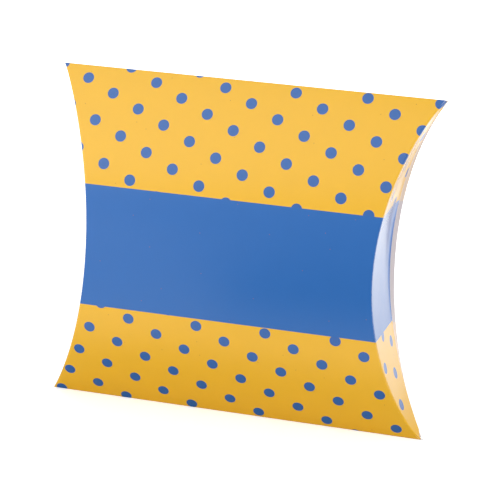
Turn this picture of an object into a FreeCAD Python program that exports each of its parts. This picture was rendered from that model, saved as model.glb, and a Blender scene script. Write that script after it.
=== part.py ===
import FreeCAD, Part
import os

# A pillow box folded from one sheet of card: two bowed panels that meet in straight creases at top and
# bottom, and at each end an inner and an outer flap, folded in along curved creases.
# X runs along the straight creases, Y from front to back, Z up from the middle of the bottom crease.
SIZES = [
    ("carton_width", 120, "corner to corner along the straight creases"),
    ("carton_height", 105, "bottom crease to top crease, measured straight"),
    ("carton_depth", 30, "crest of the front panel to crest of the back panel"),
    ("card_thickness", 0.4, "one layer of card"),
    ("glue_thickness", 0.1, "film of adhesive below the tab"),
    ("outer_fold_gap", 0.2, "slit at the curved crease of an outer flap"),
    ("inner_fold_gap", 0.5, "slit at the curved crease of an inner flap, for the card to pass"),
    ("corner_relief", 5, "height at each corner that the flaps leave free"),
    ("outer_flap_clearance", 3.2, "free edge of the outer flap to the inside of the back panel"),
    ("inner_flap_clearance", 7.6, "free edge of the inner flap to the inside of the front panel"),
    ("inner_flap_tilt", 12, "degrees that the inner flap is pushed in past square"),
    ("tab_height", 12, "top edge of the glue tab above the bottom crease"),
    ("tab_end_clearance", 8, "ends of the glue tab to the flaps"),
    ("tab_fold_clearance", 0.1, "foot of the glue tab to the inside of the front panel"),
    ("glue_margin", 2.5, "edge of the adhesive inside the edge of the tab"),
    ("overrun", 10, "how far a cutting solid passes the faces that it cuts"),
]

doc = FreeCAD.newDocument("pillow_box")
sheet = doc.addObject("Spreadsheet::Sheet", "sizes")
for row, (alias, value, meaning) in enumerate(SIZES, 1):
    sheet.set(f"A{row}", meaning)
    sheet.set(f"B{row}", str(value))
    sheet.setAlias(f"B{row}", alias)
doc.recompute()

# Sizes that follow from the driving ones, as expressions.
BULGE = "sizes.carton_depth / 2"
HALF_WIDTH = "sizes.carton_width / 2"
MIDDLE = "sizes.carton_height / 2"
CARD = "sizes.card_thickness"
# Radius of the circle through both straight creases and the crest of a panel.
RADIUS = f"(({MIDDLE})^2 + ({BULGE})^2) / (2 * {BULGE})"
# Middle of that circle, measured from the plane of the straight creases.
OFFSET = f"({RADIUS} - {BULGE})"
CREST = f"({HALF_WIDTH} - {BULGE})"
SPAN = "(sizes.carton_width + 2 * sizes.overrun)"
REACH = "(sizes.carton_depth + 2 * sizes.overrun)"
ALONG_X = FreeCAD.Rotation(FreeCAD.Vector(0, 1, 0), 90)
ALONG_Y = FreeCAD.Rotation(FreeCAD.Vector(1, 0, 0), -90)


def place(item, x, y, z, rotation=None):
    if rotation:
        item.Placement = FreeCAD.Placement(FreeCAD.Vector(), rotation)
    for axis, expression in zip("xyz", (x, y, z)):
        item.setExpression(f"Placement.Base.{axis}", expression)
    return item


def panel_cylinder(name, side, radius):
    """Solid cylinder along X whose surface is one panel's curve; side is -1 for the front, 1 for the back."""
    item = doc.addObject("Part::Cylinder", name)
    item.setExpression("Radius", radius)
    item.setExpression("Height", SPAN)
    return place(item, f"-({SPAN}) / 2", f"{-side} * {OFFSET}", MIDDLE, ALONG_X)


def end_cylinder(name, side, radius):
    """Solid cylinder along Y whose surface is the dished end of the box; side is 1 for the right end."""
    item = doc.addObject("Part::Cylinder", name)
    item.setExpression("Radius", radius)
    item.setExpression("Height", REACH)
    return place(item, f"{side} * ({HALF_WIDTH} + {OFFSET})", f"-({REACH}) / 2", MIDDLE, ALONG_Y)


def slab(name, low_y, high_y, low_z, high_z):
    """Block across the whole width between two heights and two depths."""
    item = doc.addObject("Part::Box", name)
    item.setExpression("Length", SPAN)
    item.setExpression("Width", f"({high_y}) - ({low_y})")
    item.setExpression("Height", f"({high_z}) - ({low_z})")
    return place(item, f"-({SPAN}) / 2", low_y, low_z)


def cut(name, base, *tools):
    for number, tool in enumerate(tools, 1):
        result = doc.addObject("Part::Cut", name if number == len(tools) else f"{name}_{number}")
        result.Base = base
        result.Tool = tool
        base = result
    return base


def common(name, *items):
    result = doc.addObject("Part::MultiCommon", name)
    result.Shapes = list(items)
    return result


BELOW = "-sizes.overrun"
ABOVE = "sizes.carton_height + sizes.overrun"
FLAP_LOW = "sizes.corner_relief"
FLAP_HIGH = "sizes.carton_height - sizes.corner_relief"
flap_band = slab("flap_band", f"-({REACH}) / 2", f"({REACH}) / 2", FLAP_LOW, FLAP_HIGH)

# Each panel is a bowed sheet, cut to the dished ends and, beside its flaps, back by the card and the slit.
halves = {
    "front": slab("front_half", f"-({REACH}) / 2", "0", BELOW, ABOVE),
    "back": slab("back_half", "0", f"({REACH}) / 2", BELOW, ABOVE),
}
creases = [end_cylinder("right_crease", 1, RADIUS), end_cylinder("left_crease", -1, RADIUS)]
panels = []
for face, layer, side in (("front", "outer", -1), ("back", "inner", 1)):
    outside = panel_cylinder(f"{face}_outside", side, RADIUS)
    inside = panel_cylinder(f"{face}_inside", side, f"{RADIUS} - {CARD}")
    sheet_of_card = cut(f"{face}_sheet", outside, inside)
    half_tube = common(f"{face}_half_tube", sheet_of_card, halves[face])
    seats = []
    for end, end_side in (("right", 1), ("left", -1)):
        name = f"{face}_{end}_seat"
        seat = end_cylinder(f"{name}_cylinder", end_side, f"{RADIUS} + {CARD} + sizes.{layer}_fold_gap")
        seats.append(common(name, seat, flap_band))
    panels.append(cut(f"{face}_panel", half_tube, *creases, *seats))

# A flap is the same bend of card turned through the crease: a sheet with its rulings along Y, cut to a lens
# between its own panel and a clearance from the inside of the other panel. The root of the outer flap covers
# the edge of its panel, and the root of the inner one starts at the inside of its panel, to clear it when
# it is pushed in.
flap_sheet = cut("flap_sheet", end_cylinder("flap_inside", 1, f"{RADIUS} + {CARD}"),
                 end_cylinder("flap_outside", 1, RADIUS))
flaps = []
for layer, root, far_side in (("outer", "front_outside", 1), ("inner", "back_inside", -1)):
    edge_radius = f"{RADIUS} - {CARD} - sizes.{layer}_flap_clearance"
    free_edge = panel_cylinder(f"{layer}_free_edge", far_side, edge_radius)
    height = slab(f"{layer}_flap_range", f"-({REACH}) / 2", f"({REACH}) / 2",
                  f"{FLAP_LOW} + sizes.{layer}_fold_gap", f"{FLAP_HIGH} - sizes.{layer}_fold_gap")
    flaps.append(common(f"right_{layer}_flap", flap_sheet, doc.getObject(root), free_edge, height))
outer_flap, inner_flap = flaps

# The inner flap turns inward about the upright line through the crest of the back panel's curved crease.
TILT = "sizes.inner_flap_tilt"
inner_flap.setExpression("Placement.Rotation.Angle", f"-{TILT}")
place(inner_flap, f"{CREST} * (1 - cos({TILT})) - {BULGE} * sin({TILT})",
      f"{BULGE} * (1 - cos({TILT})) + {CREST} * sin({TILT})", "0")

for flap in (outer_flap, inner_flap):
    mirrored = doc.addObject("Part::Mirroring", flap.Name.replace("right", "left"))
    mirrored.Source = flap
    mirrored.Normal = FreeCAD.Vector(1, 0, 0)
    flaps.append(mirrored)

# The glue tab lies inside the foot of the back panel, on its film of adhesive.
TAB_OUTSIDE = f"{RADIUS} - {CARD} - sizes.glue_thickness"
TAB_END = f"{RADIUS} + {CARD} + sizes.tab_end_clearance"
tab_face = panel_cylinder("tab_face", 1, TAB_OUTSIDE)
tab_sheet = cut("tab_sheet", tab_face, panel_cylinder("tab_back", 1, f"{TAB_OUTSIDE} - {CARD}"))
tab_room = panel_cylinder("tab_room", -1, f"{RADIUS} - {CARD} - sizes.tab_fold_clearance")
tab_range = slab("tab_range", "0", f"({REACH}) / 2", "0", "sizes.tab_height")
tab_strip = common("tab_strip", tab_sheet, tab_room, tab_range)
glue_tab = cut("glue_tab", tab_strip, end_cylinder("tab_right_end", 1, TAB_END),
               end_cylinder("tab_left_end", -1, TAB_END))

film = cut("film", doc.getObject("back_inside"), tab_face)
film_range = slab("film_range", "0", f"({REACH}) / 2",
                  "sizes.glue_margin", "sizes.tab_height - sizes.glue_margin")
film_strip = common("film_strip", film, film_range)
FILM_END = f"{TAB_END} + sizes.glue_margin"
glue_line = cut("glue_line", film_strip, end_cylinder("film_right_end", 1, FILM_END),
                end_cylinder("film_left_end", -1, FILM_END))

doc.recompute()
for item in doc.Objects:
    if "Invalid" in item.State or "Error" in item.State:
        raise RuntimeError(f"{item.Name} failed: {item.State}")

os.makedirs("parts", exist_ok=True)
for part in panels + flaps + [glue_tab, glue_line]:
    part.Label = part.Name
    shape = part.Shape
    if shape.isNull() or not shape.isValid() or len(shape.Solids) != 1:
        raise RuntimeError(f"{part.Label} is not one valid solid")
    shape.exportStep(f"parts/{part.Label}.step")
    box = shape.BoundBox
    print(f"{part.Label}: {shape.Volume:.1f} mm3, x {box.XMin:.2f} to {box.XMax:.2f}, "
          f"y {box.YMin:.2f} to {box.YMax:.2f}, z {box.ZMin:.2f} to {box.ZMax:.2f}")
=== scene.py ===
from math import pi, radians

import bpy
from mathutils import Matrix, Vector


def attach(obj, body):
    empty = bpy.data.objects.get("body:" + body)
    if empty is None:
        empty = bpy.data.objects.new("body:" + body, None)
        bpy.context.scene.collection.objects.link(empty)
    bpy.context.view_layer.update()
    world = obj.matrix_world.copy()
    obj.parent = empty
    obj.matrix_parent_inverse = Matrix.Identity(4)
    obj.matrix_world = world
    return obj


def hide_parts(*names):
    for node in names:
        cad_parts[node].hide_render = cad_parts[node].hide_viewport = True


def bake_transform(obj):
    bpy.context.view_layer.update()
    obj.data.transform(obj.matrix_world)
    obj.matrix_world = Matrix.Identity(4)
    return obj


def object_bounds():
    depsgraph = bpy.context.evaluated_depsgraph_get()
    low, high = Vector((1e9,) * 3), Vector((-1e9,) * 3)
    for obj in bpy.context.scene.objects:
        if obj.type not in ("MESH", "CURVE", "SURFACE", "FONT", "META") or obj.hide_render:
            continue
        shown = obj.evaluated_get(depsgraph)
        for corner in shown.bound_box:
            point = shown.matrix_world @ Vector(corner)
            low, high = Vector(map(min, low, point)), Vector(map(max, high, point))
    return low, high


# A pillow box of printed card. Its two bowed panels and its four end flaps are made by rule: every card
# surface is a grid whose points are placed by the sums below, then given the thickness of the card.
# X runs along the straight creases, Y from front to back, Z up from the bottom crease. Lengths in metres.
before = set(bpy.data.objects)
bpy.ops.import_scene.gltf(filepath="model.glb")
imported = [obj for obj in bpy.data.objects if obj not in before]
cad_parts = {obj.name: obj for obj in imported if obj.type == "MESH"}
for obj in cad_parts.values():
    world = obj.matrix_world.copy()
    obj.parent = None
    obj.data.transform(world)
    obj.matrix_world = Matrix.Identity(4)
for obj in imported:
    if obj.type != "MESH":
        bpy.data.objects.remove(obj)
cad_low, cad_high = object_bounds()
MM = 0.001

HALF_WIDTH = cad_high.x
HEIGHT = cad_high.z
BULGE = cad_high.y
CARD = 0.4 * MM
FOLD_RADIUS = 0.45 * MM
CREASE_RADIUS = 0.3 * MM
ROWS = 121
PANEL_COLUMNS = 81
FLAP_COLUMNS = 65

# The front panel's flaps lie outside, the back panel's flaps are pushed in below them. Push is how far in
# the free edge lies, and clearance how far it ends before the other panel. A lean is a change with height, and
# a bow one from half height to both tips. The print on the right flap leans against the print on the front.
RIGHT_OUTER = {
    "clearance": 1.1 * MM, "clearance_lean": 1.0 * MM, "middle_clearance": 2.8 * MM,
    "push": 1.0 * MM, "push_lean": 0.55 * MM, "push_bow": -2.2 * MM, "push_tip": -1.6 * MM,
    "middle_push": -0.5 * MM, "print_lean": 0.032,
}
LEFT_OUTER = {"clearance": 2.0 * MM, "push": 0.6 * MM, "push_bow": -0.6 * MM}
# An outer flap is slightly hollow, and its free edge curls out. Further up it does so more, and over a wider
# strip.
OUTER_CURL = {"curl": 0.51 * MM, "curl_lean": 2.0, "curl_power": 32.0, "curl_spread": 75.0}
WIDEST_CURL = 3.5
# An inner flap dips in just behind its fold, leans in from there and narrows to its tips.
INNER_BEND = {"clearance": 8.5 * MM, "tilt": radians(14), "dip": 1.6 * MM, "taper": 1.0}
DIP_LENGTH = 1.0 * MM
# What is cut off at the tips of the flaps, and along the seam at the foot of the back panel.
OUTER_TRIM = 0.5 * MM
INNER_TRIM = 6.0 * MM
SEAM_TRIM = 0.9 * MM
# The curved creases are dished a little less than the panels bow. At the right end the corners reach out, and
# the back panel does so over its whole height.
DISH = 0.985
CORNER_REACH = 1.4 * MM
FRONT_CREASE = {"corner_radius": 1.2 * MM, "reach_base": 0.0, "reach_fall": 8.0}
BACK_CREASE = {"corner_radius": 0.15 * MM, "reach_base": 0.15, "reach_fall": 2.5}
# Powers that keep a change of shape to its own place: the higher, the narrower.
REACH_POWER = 3.0
MIDDLE_POWER = 8.0
TIP_POWER = 8.0
TAPER_POWER = 3.0
CLOSING_POWER = 0.35
SHELTER_POWER = 4.0
# Where the bow is less than this share of the full one, near the tips, the push of a flap fades out.
PUSH_START = 0.125
# No row of a flap is narrower than this.
LEAST_WIDTH = 0.1 * MM
# A curved crease is worn over a narrower strip than a straight fold, and not at its tips.
CREASE_WEAR = 2.5
TIP_SHELTER = 1.0 * MM
# Points that lie closer are merged, and edges that bend more are shaded sharp.
MERGE_DISTANCE = 0.001 * MM
SHARP_ANGLE = radians(50)

# The print, in the coordinates of the flat sheet: dots in a turned square pattern and one plain band.
DOT_STEP = 9.832 * MM
DOT_TURN = radians(25.027)
DOT_PLACE = (-19.961 * MM, 47.47 * MM)
DOT_RADIUS = 1.76 * MM
INK_SPREAD = 0.08 * MM
BAND_LOW = -20.15 * MM
BAND_HIGH = 18.26 * MM
YELLOW_INK = (0.77, 0.42, 0.008, 1)
BLUE_INK = (0.004, 0.113, 0.40, 1)
DOT_INK = (0.014, 0.104, 0.36, 1)
WHITE_CARD = (0.70, 0.645, 0.63, 1)
# The smooth side of the inner flaps has no print; beside its crease it carries painted bounce light, a faint
# tint of the print.
SMOOTH_CARD = (0.76, 0.66, 0.62, 1)
BOUNCE_TINT = 0.18
BOUNCE_WIDTH = 5 * MM
CUT_CARD = (0.80, 0.77, 0.74, 1)

# The coated side is worn to the card in cracks along the folds, and carries a few specks.
GRAIN_SIZE = 0.35 * MM
GRAIN_TONE = 0.07
GRAIN_DEPTH = 0.02 * MM
MOTTLE_SIZE = 7 * MM
MOTTLE_TONE = 0.06
MOTTLE_DEPTH = 0.12 * MM
INK_ROUGHNESS = 0.36
CRACK_SIZE = 0.8 * MM
CRACK_SPREAD = 0.5 * MM
WORN_STRIP = (0.05 * MM, 0.3 * MM)
WORN_SHARE = 0.28
SPECK_STEP = 15 * MM
SPECK_RIM = (0.09 * MM, 0.2 * MM)
SPECK_SHARE = 0.55
SPECK_COLOUR = (0.28, 0.10, 0.012, 1)
# The varnish mirrors more sharply where it is seen at a grazing angle.
VARNISH_IOR = 1.4
VARNISH_ROUGHNESS = 0.24
GRAZING_ROUGHNESS = 0.13
GRAZING = (0.5, 0.85)
# Bare card shows its fibres, faint clouds and a few flecks.
CARD_IOR = 1.35
CARD_ROUGHNESS = 0.68
FIBRE_SIZE = 0.4 * MM
FIBRE_TONE = 0.16
FIBRE_DEPTH = 0.03 * MM
CLOUD_SIZE = 9 * MM
CLOUD_TONE = 0.08
FLECK_SIZE = 1.3 * MM
FLECK_LEVELS = (0.70, 0.78)
FLECK_SHARE = 0.25
FLECK_COLOUR = (0.42, 0.36, 0.30, 1)
# The adhesive is drawn out in long streaks.
THIN_GLUE = (0.62, 0.54, 0.36, 1)
THICK_GLUE = (0.80, 0.74, 0.58, 1)
GLUE_ROUGHNESS = 0.3
STREAK_SIZE = 1.1 * MM
STREAK_DEPTH = 0.05 * MM
STREAK_DRAW = 0.15

# The camera, fitted to the corners, creases and dots of the box in the photograph.
CAMERA_PLACE = (170.678 * MM, -591.074 * MM, 200.291 * MM)
CAMERA_AZIMUTH = radians(15.837)
CAMERA_ELEVATION = radians(13.50)
CAMERA_ROLL = radians(3.185)
CAMERA_LENS = 148.15
CAMERA_SENSOR = 36

# The studio gives a plain light from all around, and shows white where it is seen directly.
WORLD_LIGHT = 0.48
FLOOR_REACH = 4.0
FLOOR_TONE = 0.95
# The floor's own white is weaker near the box, so that the shadow shows, and grows over this distance.
NEAR_WHITE = 0.36
WHITE_GROWS = (0.15, 0.6)
# In gloss the studio is dark ahead of the box, between a left and a right bearing, and a little beside them;
# on the floor this is painted shade.
# Below the box the floor carries a painted shadow, seen in gloss only.
DARK_STUDIO = 0.9
DARK_FLOOR = 0.8
DARK_AHEAD = (0.02, 0.12)
DARK_LEFT = (-0.37, -0.2)
DARK_RIGHT = (0.5, 1.0)
DARK_BESIDE = 0.2
SHADOW_BELOW = (0.012, 0.045)
GLOSS_WHITE = 0.54
SOFTBOXES = (
    {"name": "front", "place": (-0.55, -0.95, 0.75), "size": 1.15, "power": 4.3},
    {"name": "left", "place": (-0.85, -0.75, 0.12), "size": 0.5, "power": 5.6},
    {"name": "right", "place": (1.1, -0.3, 0.55), "size": 0.6, "power": 7.1},
    {"name": "back", "place": (-0.45, 1.0, 0.7), "size": 1.0, "power": 5.6},
)


class Value:
    """A number on a node tree's socket. Sums written with it add Math nodes to the tree."""

    def __init__(self, socket):
        self.socket = socket
        self.tree = socket.id_data

    def math(self, operation, *others):
        node = self.tree.nodes.new("ShaderNodeMath")
        node.operation = operation
        for item, slot in zip((self, *others), node.inputs):
            plug(item, slot)
        return Value(node.outputs[0])

    def __add__(self, other):
        return self.math("ADD", other)

    def __sub__(self, other):
        return self.math("SUBTRACT", other)

    def __mul__(self, other):
        return self.math("MULTIPLY", other)

    def __truediv__(self, other):
        return self.math("DIVIDE", other)

    def __neg__(self):
        return self.math("MULTIPLY", -1.0)

    def __rsub__(self, other):
        return -self + other

    __radd__ = __add__


def plug(item, slot):
    """Links a value or a socket to an input, or sets the input to a constant."""
    if isinstance(item, Value):
        item = item.socket
    if isinstance(item, bpy.types.NodeSocket):
        item.id_data.links.new(item, slot)
    else:
        slot.default_value = item


def add(tree, kind, plugs=(), **choices):
    """A new node with its choices set and its inputs plugged, by the inputs' names."""
    node = tree.nodes.new(kind)
    for name, choice in choices.items():
        setattr(node, name, choice)
    for name, item in dict(plugs).items():
        plug(item, node.inputs[name])
    return node


def sin(value):
    return value.math("SINE")


def cos(value):
    return value.math("COSINE")


# Card surfaces

# Inputs of the trees. Those with no kind here are plain numbers.
INPUT_KINDS = {
    "Rows": "NodeSocketInt", "Columns": "NodeSocketInt",
    "Outside": "NodeSocketMaterial", "Inside": "NodeSocketMaterial", "Cut Edge": "NodeSocketMaterial",
}
SHEET_INPUTS = (
    "Half Width", "Height", "Bulge", "Card", "Fold Radius", "Crease Radius", "Corner Radius", "Dish",
    "Reach", "Reach Base", "Reach Fall", "Side", "End", "Rows", "Columns", "Low Trim", "High Trim",
    "Outside", "Inside", "Cut Edge",
)
FLAP_INPUTS = (
    "Clearance", "Clearance Lean", "Middle Clearance", "Push", "Push Lean", "Push Bow", "Push Tip",
    "Middle Push", "Tilt", "Dip", "Dip Length", "Taper", "Curl", "Curl Lean", "Curl Power", "Curl Spread",
    "Print Lean",
)


def size_name(label):
    """The name under which a piece gives the size of a tree's input."""
    return label.replace(" ", "_").lower()


def start_tree(name, inputs):
    tree = bpy.data.node_groups.new(name, "GeometryNodeTree")
    for label in inputs:
        kind = INPUT_KINDS.get(label, "NodeSocketFloat")
        tree.interface.new_socket(label, in_out="INPUT", socket_type=kind)
    tree.interface.new_socket("Card Sheet", in_out="OUTPUT", socket_type="NodeSocketGeometry")
    given = {slot.name: Value(slot) for slot in tree.nodes.new("NodeGroupInput").outputs if slot.name}
    grid = add(tree, "GeometryNodeMeshGrid", {
        "Size X": 2.0, "Size Y": 2.0, "Vertices X": given["Columns"], "Vertices Y": given["Rows"]})
    position = tree.nodes.new("GeometryNodeInputPosition").outputs[0]
    place = add(tree, "ShaderNodeSeparateXYZ", {"Vector": position})
    return tree, given, grid.outputs["Mesh"], Value(place.outputs["X"]), Value(place.outputs["Y"])


def bowed_row(given, row):
    """Where a row of the grid lies on a panel's bow: along the card, out from the middle plane, up from the
    middle. The bow is an arc, closed at both straight creases by a small round fold, where rows crowd."""
    bulge, height, fold = given["Bulge"], given["Height"], given["Fold Radius"]
    radius = (height * height / 4.0 + bulge * bulge - height * fold) / ((bulge - fold) * 2.0)
    offset = radius - bulge
    fold_level = height / 2.0 - fold
    fold_start = fold_level.math("ARCTAN2", offset)
    bow = radius * fold_start
    half = bow + fold * (pi / 2 - fold_start)
    low, high = given["Low Trim"] - half, half - given["High Trim"]
    along = low + (high - low) * (sin(row * (pi / 2)) * 0.5 + 0.5)
    length = along.math("ABSOLUTE")
    excess = (length - bow).math("MAXIMUM", 0.0)
    on_fold = excess.math("GREATER_THAN", 0.0)
    turn = length.math("MINIMUM", bow) / radius + excess / fold
    reach = radius + on_fold * (fold - radius)
    depth = reach * cos(turn) - offset * (1.0 - on_fold)
    level = along.math("SIGN") * (reach * sin(turn) + fold_level * on_fold)
    return along, depth, level, half


def toward_tips(given, depth, power):
    """A weight along a curved crease: none at half height, 1 at the tips."""
    return (1.0 - depth / given["Bulge"]).math("MAXIMUM", 0.0).math("POWER", power)


def curved_crease(given, depth, level):
    """A row's place from the bottom (-1) to the top (1), the end of the row at the curved crease, the outside
    radius of the crease there, which is none at the tips, and how far the right end reaches out."""
    rise = level / (given["Height"] / 2.0)
    end = given["Half Width"] - given["Dish"] * depth
    radius = given["Crease Radius"] + (given["Corner Radius"] - given["Crease Radius"]) * rise * rise
    flare = toward_tips(given, depth, given["Reach Fall"])
    reach = given["Reach"] * (given["Reach Base"] + (1.0 - given["Reach Base"]) * flare)
    return rise, end, radius * depth / (radius + depth), reach


def crease_wear(given, depth, to_crease):
    """The distance to a curved crease as its wear counts it: across a narrow strip, and not at the tips."""
    return to_crease * CREASE_WEAR + toward_tips(given, depth, SHELTER_POWER) * TIP_SHELTER


def finish_tree(tree, given, grid, blank, fold_distance, place):
    """Stores the flat sheet's coordinates, moves the grid's points and gives the card its thickness."""
    flat = add(tree, "ShaderNodeCombineXYZ", {"X": blank[0], "Y": blank[1]})
    stored = add(tree, "GeometryNodeStoreNamedAttribute", {
        "Geometry": grid, "Name": "Blank", "Value": flat.outputs[0]}, data_type="FLOAT2", domain="CORNER")
    folded = add(tree, "GeometryNodeStoreNamedAttribute", {
        "Geometry": stored.outputs[0], "Name": "Fold Distance", "Value": fold_distance},
        data_type="FLOAT", domain="POINT")
    point = add(tree, "ShaderNodeCombineXYZ", {"X": place[0], "Y": place[1], "Z": place[2]})
    bent = add(tree, "GeometryNodeSetPosition", {"Geometry": folded.outputs[0], "Position": point.outputs[0]})
    flipped = add(tree, "GeometryNodeFlipFaces", {"Mesh": bent.outputs[0]})
    mirrored = (given["Side"] * given["End"]).math("GREATER_THAN", 0.0)
    outside = add(tree, "GeometryNodeSwitch", {
        "Switch": mirrored, "False": bent.outputs[0], "True": flipped.outputs[0]}, input_type="GEOMETRY")

    inward = add(tree, "ShaderNodeVectorMath", {
        0: tree.nodes.new("GeometryNodeInputNormal").outputs[0], "Scale": -given["Card"]}, operation="SCALE")
    extruded = add(tree, "GeometryNodeExtrudeMesh", {
        "Mesh": outside.outputs[0], "Offset": inward.outputs[0], "Individual": False}, mode="FACES")
    inside = add(tree, "GeometryNodeStoreNamedAttribute", {
        "Geometry": extruded.outputs["Mesh"], "Selection": extruded.outputs["Top"],
        "Name": "Inside", "Value": True}, data_type="BOOLEAN", domain="FACE")
    walls = add(tree, "GeometryNodeStoreNamedAttribute", {
        "Geometry": inside.outputs[0], "Selection": extruded.outputs["Side"],
        "Name": "Cut Edge", "Value": True}, data_type="BOOLEAN", domain="FACE")
    turned = add(tree, "GeometryNodeFlipFaces", {"Mesh": walls.outputs[0]})
    joined = add(tree, "GeometryNodeJoinGeometry")
    tree.links.new(turned.outputs[0], joined.inputs[0])
    tree.links.new(outside.outputs[0], joined.inputs[0])
    closed = add(tree, "GeometryNodeMergeByDistance", {
        "Geometry": joined.outputs[0], "Distance": MERGE_DISTANCE})

    smooth = add(tree, "GeometryNodeSetShadeSmooth", {"Geometry": closed.outputs[0], "Shade Smooth": True})
    bend = Value(tree.nodes.new("GeometryNodeInputMeshEdgeAngle").outputs["Unsigned Angle"])
    sharp = add(tree, "GeometryNodeSetShadeSmooth", {
        "Geometry": smooth.outputs[0], "Selection": bend.math("GREATER_THAN", SHARP_ANGLE),
        "Shade Smooth": False}, domain="EDGE")
    sheet = add(tree, "GeometryNodeRealizeInstances", {"Geometry": sharp.outputs[0]}).outputs[0]
    for surface in ("Outside", "Inside", "Cut Edge"):
        painted = add(tree, "GeometryNodeSetMaterial", {"Geometry": sheet, "Material": given[surface]})
        if surface != "Outside":
            chosen = add(tree, "GeometryNodeInputNamedAttribute", {"Name": surface}, data_type="BOOLEAN")
            plug(chosen.outputs["Attribute"], painted.inputs["Selection"])
        sheet = painted.outputs[0]
    tree.links.new(sheet, tree.nodes.new("NodeGroupOutput").inputs[0])
    return tree


def bowed_panel_tree():
    tree, given, grid, column, row = start_tree("bowed_panel", SHEET_INPUTS)
    along, depth, level, half = bowed_row(given, row)
    _, crease, radius, reach = curved_crease(given, depth, level)
    end = crease - radius
    across = sin(column * (pi / 2))
    x = end * across + reach * across.math("MAXIMUM", 0.0).math("POWER", REACH_POWER)
    to_crease = end - x.math("ABSOLUTE") + radius * (pi / 4)
    to_fold = half - along.math("ABSOLUTE")
    place = (x, given["Side"] * depth, given["Height"] / 2.0 + level)
    wear = crease_wear(given, depth, to_crease).math("MINIMUM", to_fold)
    return finish_tree(tree, given, grid, (x, along), wear, place)


def dished_flap_tree():
    tree, given, grid, column, row = start_tree("dished_flap", SHEET_INPUTS + FLAP_INPUTS)
    along, depth, level, _ = bowed_row(given, row)
    rise, crease, radius, reach = curved_crease(given, depth, level)
    upper = rise.math("MAXIMUM", 0.0)
    square = rise * rise
    share = depth / given["Bulge"]
    middle = share.math("POWER", MIDDLE_POWER)
    tip = upper.math("POWER", TIP_POWER)
    clear = (given["Clearance"] * share.math("POWER", CLOSING_POWER) + given["Middle Clearance"] * middle
             + given["Clearance Lean"] * upper).math("MINIMUM", depth)
    width = (depth * 2.0 - clear) * (1.0 - given["Taper"] * square.math("POWER", TAPER_POWER))
    push = (given["Push"] + given["Push Lean"] * rise + given["Push Bow"] * square
            + given["Middle Push"] * middle + given["Push Tip"] * tip)
    push = push * (share / PUSH_START).math("MINIMUM", 1.0)
    slant = (push + reach).math("ARCTAN2", width) + given["Tilt"]
    fold_turn = slant + pi / 2
    straight = (width - radius + radius * cos(fold_turn)) / sin(fold_turn)
    straight = straight.math("MAXIMUM", LEAST_WIDTH)
    fold_length = radius * fold_turn
    out = (1.0 - cos((column * 0.5 + 0.5) * pi)) * 0.5 * (fold_length + straight)
    turn = out.math("MINIMUM", fold_length) / radius
    flat = (out - fold_length).math("MAXIMUM", 0.0)
    root = crease + reach - radius
    dip = given["Dip"] * share * (1.0 - (-flat / given["Dip Length"]).math("EXPONENT"))
    across = flat / straight
    power = (given["Curl Power"] - given["Curl Spread"] * upper).math("MAXIMUM", WIDEST_CURL)
    curl = (given["Curl"] * share * (1.0 + given["Curl Lean"] * rise).math("MAXIMUM", 0.0)
            * (across.math("POWER", power) - across))
    x = root + radius * sin(turn) + flat * cos(turn) - dip + curl
    toward = depth - radius + radius * cos(turn) - flat * sin(turn)
    place = (given["End"] * x, given["Side"] * toward, given["Height"] / 2.0 + level)
    to_crease = (out - fold_length / 2.0).math("ABSOLUTE")
    blank = (given["End"] * (root + out), along - given["Print Lean"] * out)
    return finish_tree(tree, given, grid, blank, crease_wear(given, depth, to_crease), place)


def card_piece(name, tree, node, slot, **sizes):
    """Runs a tree once with its sizes, and keeps the result as a plain mesh that stands for the CAD node."""
    piece = bpy.data.objects.new(name, bpy.data.meshes.new(name))
    bpy.context.scene.collection.objects.link(piece)
    maker = piece.modifiers.new("card", "NODES")
    maker.node_group = tree
    sizes = {**SHEET_SIZES, **sizes}
    for item in tree.interface.items_tree:
        if item.in_out == "INPUT":
            maker[item.identifier] = sizes[size_name(item.name)]
    graph = bpy.context.evaluated_depsgraph_get()
    mesh = bpy.data.meshes.new_from_object(
        piece.evaluated_get(graph), preserve_all_data_layers=True, depsgraph=graph)
    piece.modifiers.remove(maker)
    piece.data = mesh
    mesh.name = name
    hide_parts(node)
    return piece


# Finishes

def new_material(name):
    material = bpy.data.materials.new(name)
    material.use_nodes = True
    tree = material.node_tree
    return material, tree, tree.nodes["Principled BSDF"]


def noise(tree, where, size, detail=4.0, roughness=0.6):
    """Soft spots of about a size, around a level of 0.5."""
    node = add(tree, "ShaderNodeTexNoise", {
        "Vector": where, "Scale": 1 / size, "Detail": detail, "Roughness": roughness})
    return Value(node.outputs["Fac"])


def ramp(tree, value, low, high, at_low=0.0, at_high=1.0):
    """A smooth change from one level to another while the value goes from low to high."""
    node = add(tree, "ShaderNodeMapRange", {
        "Value": value, "From Min": low, "From Max": high, "To Min": at_low, "To Max": at_high},
        interpolation_type="SMOOTHSTEP")
    return Value(node.outputs[0])


def mix(tree, share, first, second, blend="MIX"):
    node = add(tree, "ShaderNodeMix", data_type="RGBA", blend_type=blend)
    for item, slot in zip((share, first, second), (node.inputs[0], node.inputs[6], node.inputs[7])):
        plug(item, slot)
    return node.outputs[2]


def relief(tree, shader, height, distance, strength):
    bump = add(tree, "ShaderNodeBump", {"Height": height, "Distance": distance, "Strength": strength})
    tree.links.new(bump.outputs[0], shader.inputs["Normal"])


def tone(tree, value):
    return add(tree, "ShaderNodeCombineColor", {"Red": value, "Green": value, "Blue": value}).outputs[0]


def uneven(tree, colour, fine, fine_tone, wide, wide_tone):
    """A colour that a fine and a wide noise make a little lighter and darker around itself."""
    level = fine * fine_tone + wide * wide_tone + (1.0 - (fine_tone + wide_tone) / 2)
    return mix(tree, 1.0, colour, tone(tree, level), "MULTIPLY")


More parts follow.
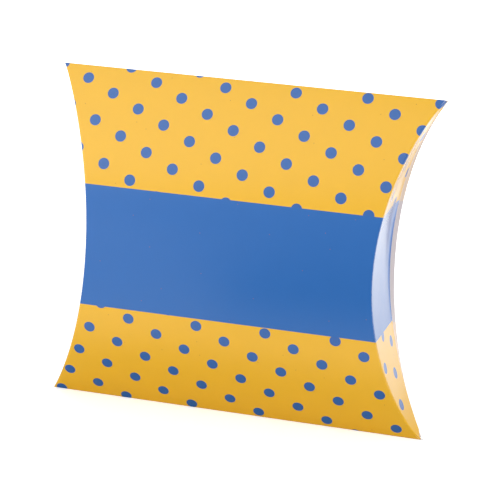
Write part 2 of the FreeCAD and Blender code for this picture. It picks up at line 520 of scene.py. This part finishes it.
def banded(tree, blank, ground):
    """The plain blue band on a ground."""
    height = Value(add(tree, "ShaderNodeSeparateXYZ", {"Vector": blank}).outputs["Y"])
    from_band = (height - (BAND_LOW + BAND_HIGH) / 2).math("ABSOLUTE")
    half_band = (BAND_HIGH - BAND_LOW) / 2
    band = ramp(tree, from_band, half_band - INK_SPREAD, half_band + INK_SPREAD, 1.0, 0.0)
    return mix(tree, band, ground, BLUE_INK)


def inks(tree, blank):
    """The print: yellow ground with blue dots and a plain blue band."""
    moved = add(tree, "ShaderNodeVectorMath", {0: blank, 1: (*DOT_PLACE, 0)}, operation="SUBTRACT")
    lattice = add(tree, "ShaderNodeMapping", {
        "Vector": moved.outputs[0], "Rotation": (0, 0, DOT_TURN), "Scale": (1 / DOT_STEP,) * 3})
    cell = add(tree, "ShaderNodeVectorMath", {
        0: lattice.outputs[0], 1: (0.5,) * 3, 2: (-0.5,) * 3}, operation="WRAP")
    length = add(tree, "ShaderNodeVectorMath", {0: cell.outputs[0]}, operation="LENGTH")
    distance = Value(length.outputs["Value"]) * DOT_STEP
    dots = ramp(tree, distance, DOT_RADIUS - INK_SPREAD, DOT_RADIUS + INK_SPREAD, 1.0, 0.0)
    return banded(tree, blank, mix(tree, dots, YELLOW_INK, DOT_INK))


def coated_finish(name, printed):
    """The sheet's smooth side, in the flat sheet's coordinates: print or bare card under a clear varnish."""
    material, tree, shader = new_material(name)
    blank = add(tree, "ShaderNodeUVMap", uv_map="Blank").outputs[0]
    grain = noise(tree, blank, GRAIN_SIZE)
    mottle = noise(tree, blank, MOTTLE_SIZE, 3.0)
    fold = Value(add(tree, "ShaderNodeAttribute", attribute_name="Fold Distance").outputs["Fac"])
    if printed:
        colour = inks(tree, blank)
    else:
        # Painted bounce light: near the crease a faint tint of the print's yellow and blue band is mixed into
        # the bare card.
        painted_bounce = ramp(tree, fold / CREASE_WEAR, BOUNCE_WIDTH, 3 * BOUNCE_WIDTH, BOUNCE_TINT, 0.0)
        colour = mix(tree, painted_bounce, SMOOTH_CARD, banded(tree, blank, YELLOW_INK))
    toned = uneven(tree, colour, grain, GRAIN_TONE, mottle, MOTTLE_TONE)

    specks = add(
        tree, "ShaderNodeTexVoronoi", {"Vector": blank, "Scale": 1 / SPECK_STEP}, voronoi_dimensions="2D")
    speck = ramp(tree, Value(specks.outputs["Distance"]) * SPECK_STEP, *SPECK_RIM, SPECK_SHARE, 0.0)
    speckled = mix(tree, speck, toned, SPECK_COLOUR)

    cracks = noise(tree, blank, CRACK_SIZE)
    worn = ramp(tree, fold - (cracks - 0.5) * CRACK_SPREAD, *WORN_STRIP, WORN_SHARE, 0.0)
    tree.links.new(mix(tree, worn, speckled, WHITE_CARD), shader.inputs["Base Color"])

    plug(grain * 0.12 + mottle * 0.1 + INK_ROUGHNESS, shader.inputs["Roughness"])
    shader.inputs["IOR"].default_value = VARNISH_IOR
    shader.inputs["Coat Weight"].default_value = 1.0
    shader.inputs["Coat IOR"].default_value = VARNISH_IOR
    facing = add(tree, "ShaderNodeLayerWeight", {"Blend": 0.5}).outputs["Facing"]
    gloss = ramp(tree, facing, *GRAZING, VARNISH_ROUGHNESS, GRAZING_ROUGHNESS)
    plug(gloss, shader.inputs["Coat Roughness"])
    relief(tree, shader, grain + mottle * (MOTTLE_DEPTH / GRAIN_DEPTH), GRAIN_DEPTH, 0.15)
    return material


def plain_finish(name, colour):
    """Uncoated card: short fibres, faint flecks and a soft matt surface."""
    material, tree, shader = new_material(name)
    where = add(tree, "ShaderNodeTexCoord").outputs["Object"]
    fibre = noise(tree, where, FIBRE_SIZE, 6.0, 0.7)
    cloud = noise(tree, where, CLOUD_SIZE, 3.0)
    toned = uneven(tree, colour, fibre, FIBRE_TONE, cloud, CLOUD_TONE)
    fleck = ramp(tree, noise(tree, where, FLECK_SIZE, 2.0), *FLECK_LEVELS, 0.0, FLECK_SHARE)
    tree.links.new(mix(tree, fleck, toned, FLECK_COLOUR), shader.inputs["Base Color"])
    plug(fibre * 0.2 + CARD_ROUGHNESS, shader.inputs["Roughness"])
    shader.inputs["IOR"].default_value = CARD_IOR
    relief(tree, shader, fibre, FIBRE_DEPTH, 0.5)
    return material


def glue_finish():
    """Dried film of paper adhesive, drawn on in streaks along the tab."""
    material, tree, shader = new_material("adhesive")
    where = add(tree, "ShaderNodeTexCoord").outputs["Object"]
    drawn = add(tree, "ShaderNodeMapping", {"Vector": where, "Scale": (STREAK_DRAW, 1, 1)})
    streak = noise(tree, drawn.outputs[0], STREAK_SIZE, 3.0)
    tree.links.new(mix(tree, streak, THIN_GLUE, THICK_GLUE), shader.inputs["Base Color"])
    plug(streak * 0.3 + GLUE_ROUGHNESS, shader.inputs["Roughness"])
    relief(tree, shader, streak, STREAK_DEPTH, 0.6)
    return material


PRINTED = coated_finish("printed_card", True)
COATED = coated_finish("coated_card", False)
PLAIN = plain_finish("plain_card", WHITE_CARD)
EDGE = plain_finish("cut_edge", CUT_CARD)
ADHESIVE = glue_finish()

# Pieces

SHEET_SIZES = {
    "half_width": HALF_WIDTH, "height": HEIGHT, "bulge": BULGE, "card": CARD,
    "fold_radius": FOLD_RADIUS, "crease_radius": CREASE_RADIUS, "dish": DISH, "reach": CORNER_REACH,
    **{size_name(label): 0.0 for label in FLAP_INPUTS}, "dip_length": DIP_LENGTH, "curl_power": WIDEST_CURL,
    "rows": ROWS, "columns": PANEL_COLUMNS, "end": 1.0, "low_trim": 0.0, "high_trim": 0.0,
    "outside": PRINTED, "inside": PLAIN, "cut_edge": EDGE,
}
panel_tree = bowed_panel_tree()
flap_tree = dished_flap_tree()

front = card_piece("front_panel_card", panel_tree, "front_panel", "printed_card", side=-1.0, **FRONT_CREASE)
back = card_piece("back_panel_card", panel_tree, "back_panel", "printed_card",
                  side=1.0, low_trim=SEAM_TRIM, **BACK_CREASE)
for panel in (front, back):
    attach(panel, "carton")

for end_name, end, reach, shape in (
        ("right", 1.0, CORNER_REACH, RIGHT_OUTER), ("left", -1.0, 0.0, LEFT_OUTER)):
    outer = card_piece(
        f"{end_name}_outer_flap_card", flap_tree, f"{end_name}_outer_flap", "printed_card",
        side=-1.0, end=end, reach=reach, columns=FLAP_COLUMNS, low_trim=OUTER_TRIM, high_trim=OUTER_TRIM,
        **FRONT_CREASE, **OUTER_CURL, **shape)
    inner = card_piece(
        f"{end_name}_inner_flap_card", flap_tree, f"{end_name}_inner_flap", "plain_card",
        side=1.0, end=end, reach=reach, columns=FLAP_COLUMNS, low_trim=INNER_TRIM, high_trim=INNER_TRIM,
        outside=COATED, **BACK_CREASE, **INNER_BEND)
    # Each flap's mesh is baked to its place.
    for flap, side, body in ((outer, -1.0, "outer"), (inner, 1.0, "inner")):
        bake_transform(flap)

for node, material in (("glue_tab", PLAIN), ("glue_line", ADHESIVE)):
    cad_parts[node].data.materials.clear()
    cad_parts[node].data.materials.append(material)


# Studio: a plain pale floor that shows white and keeps the soft shadow, and large soft lights.

def seen_directly(tree):
    """Two values: 1 for rays that show the surroundings to the camera, in gloss or through clear material,
    and 1 for those in gloss only."""
    path = add(tree, "ShaderNodeLightPath")
    camera, glossy, through = (
        Value(path.outputs[name]) for name in ("Is Camera Ray", "Is Glossy Ray", "Is Transmission Ray"))
    return camera.math("MAXIMUM", glossy).math("MAXIMUM", through), glossy


def dark_ahead(tree, glossy, where):
    """How dark the studio is in gloss, as painted shade on the floor and less world light: 1 straight in front
    of the box, less beside that, none behind it.
    """
    axes = add(tree, "ShaderNodeSeparateXYZ", {"Vector": where})
    across, away = Value(axes.outputs["X"]), -Value(axes.outputs["Y"])
    bearing = across / away.math("MAXIMUM", DARK_AHEAD[0])
    ahead = ramp(tree, away, *DARK_AHEAD)
    wedge = ramp(tree, bearing, *DARK_LEFT) * ramp(tree, bearing, *DARK_RIGHT, 1.0, 0.0)
    return glossy * ahead * (wedge * (1.0 - DARK_BESIDE) + DARK_BESIDE)


floor_mesh = bpy.data.meshes.new("floor")
floor_corners = [(x * FLOOR_REACH, y * FLOOR_REACH, 0) for x, y in ((-1, -1), (1, -1), (1, 1), (-1, 1))]
floor_mesh.from_pydata(floor_corners, [], [(0, 1, 2, 3)])
floor = bpy.data.objects.new("floor", floor_mesh)
bpy.context.scene.collection.objects.link(floor)
floor_material, floor_tree, floor_shader = new_material("pale_floor")
seen, glossy = seen_directly(floor_tree)
spot = add(floor_tree, "ShaderNodeNewGeometry").outputs["Position"]
# Painted shade: in gloss the floor is darker ahead of the box.
dark = dark_ahead(floor_tree, glossy, spot)
from_foot = Value(add(floor_tree, "ShaderNodeSeparateXYZ", {"Vector": spot}).outputs["Y"]).math("ABSOLUTE")
# Painted shadow: in gloss the floor darkens close to the foot line of the box.
painted_shadow = glossy * ramp(floor_tree, from_foot, *SHADOW_BELOW, 1.0, 0.0)
shaded = dark.math("MAXIMUM", painted_shadow)
# The painted shade and the painted shadow lower the floor's colour and its white, in gloss only.
plug(tone(floor_tree, FLOOR_TONE - shaded * DARK_FLOOR), floor_shader.inputs["Base Color"])
floor_shader.inputs["Roughness"].default_value = 0.9
floor_shader.inputs["Specular IOR Level"].default_value = 0.0
floor_shader.inputs["Emission Color"].default_value = (1, 1, 1, 1)
from_box = Value(add(floor_tree, "ShaderNodeVectorMath", {0: spot}, operation="LENGTH").outputs["Value"])
white = ramp(floor_tree, from_box, *WHITE_GROWS, NEAR_WHITE, 1.0)
gloss_white = (glossy - shaded) * GLOSS_WHITE
plug((seen - glossy) * white + gloss_white, floor_shader.inputs["Emission Strength"])
floor_mesh.materials.append(floor_material)

world = bpy.data.worlds.new("studio")
bpy.context.scene.world = world
world.use_nodes = True
background = world.node_tree.nodes["Background"]
background.inputs["Color"].default_value = (1, 1, 1, 1)
seen, glossy = seen_directly(world.node_tree)
dark = dark_ahead(world.node_tree, glossy, add(world.node_tree, "ShaderNodeTexCoord").outputs["Generated"])
plug(seen * (1.0 - WORLD_LIGHT) + WORLD_LIGHT - dark * DARK_STUDIO, background.inputs["Strength"])


def softbox(name, place, size, power):
    """A round soft light, aimed at the middle of the box."""
    light = bpy.data.lights.new(name, "AREA")
    light.shape = "DISK"
    light.size = size
    light.energy = power
    lamp = bpy.data.objects.new(name, light)
    bpy.context.scene.collection.objects.link(lamp)
    aim = Vector((0, 0, HEIGHT / 2)) - Vector(place)
    lamp.matrix_world = Matrix.Translation(place) @ aim.to_track_quat("-Z", "Y").to_matrix().to_4x4()


for light in SOFTBOXES:
    softbox(**light)

camera = bpy.data.objects.new("camera", bpy.data.cameras.new("camera"))
bpy.context.scene.collection.objects.link(camera)
camera.data.lens = CAMERA_LENS
camera.data.sensor_width = CAMERA_SENSOR
camera.matrix_world = (
    Matrix.Translation(CAMERA_PLACE) @ Matrix.Rotation(CAMERA_AZIMUTH, 4, "Z")
    @ Matrix.Rotation(pi / 2 - CAMERA_ELEVATION, 4, "X") @ Matrix.Rotation(CAMERA_ROLL, 4, "Z"))
bpy.context.scene.camera = camera
bpy.context.scene.view_settings.view_transform = "Standard"

bpy.context.view_layer.update()
